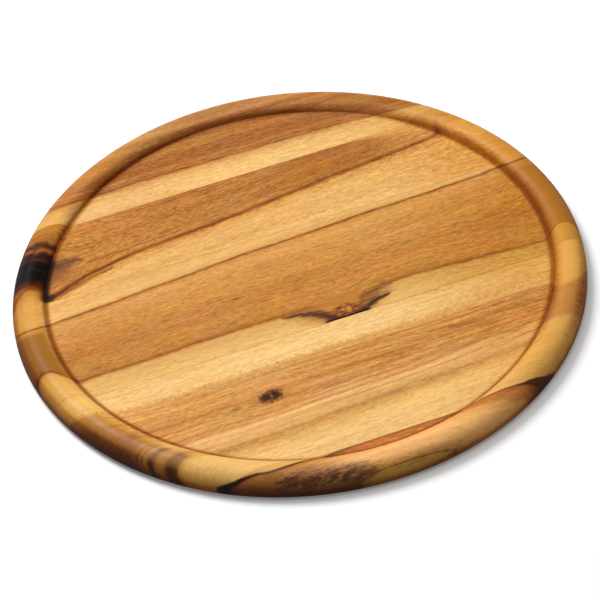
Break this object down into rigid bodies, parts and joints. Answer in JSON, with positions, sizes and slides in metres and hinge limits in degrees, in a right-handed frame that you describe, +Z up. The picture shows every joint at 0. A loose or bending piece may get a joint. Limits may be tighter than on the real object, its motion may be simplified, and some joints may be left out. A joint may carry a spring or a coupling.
{
  "type": "pizza serving board",
  "caption": "Round wooden pizza serving board, edge-glued from wide staves and turned, with a flat sunken serving floor and a rounded raised bead rim.",
  "frame": {"origin": "centre of the flat underside, on the surface that the board lies on", "axes": "+Z up out of the serving floor, X along the grain and the glue joints, +Y towards the back stave"},
  "size_m": [0.32, 0.32, 0.015],
  "materials": {
    "back_stave": "satin",
    "rear_stave": "satin",
    "centre_stave": "satin",
    "fore_stave": "satin",
    "front_stave": "satin",
    "glue": "matte"
  },
  "bodies": {
    "root": {"back_stave": "back_stave", "rear_stave": "rear_stave", "centre_stave": "centre_stave", "fore_stave": "fore_stave", "front_stave": "front_stave", "back_glue_line": "glue", "rear_glue_line": "glue", "fore_glue_line": "glue", "front_glue_line": "glue"}
  },
  "joints": []
}
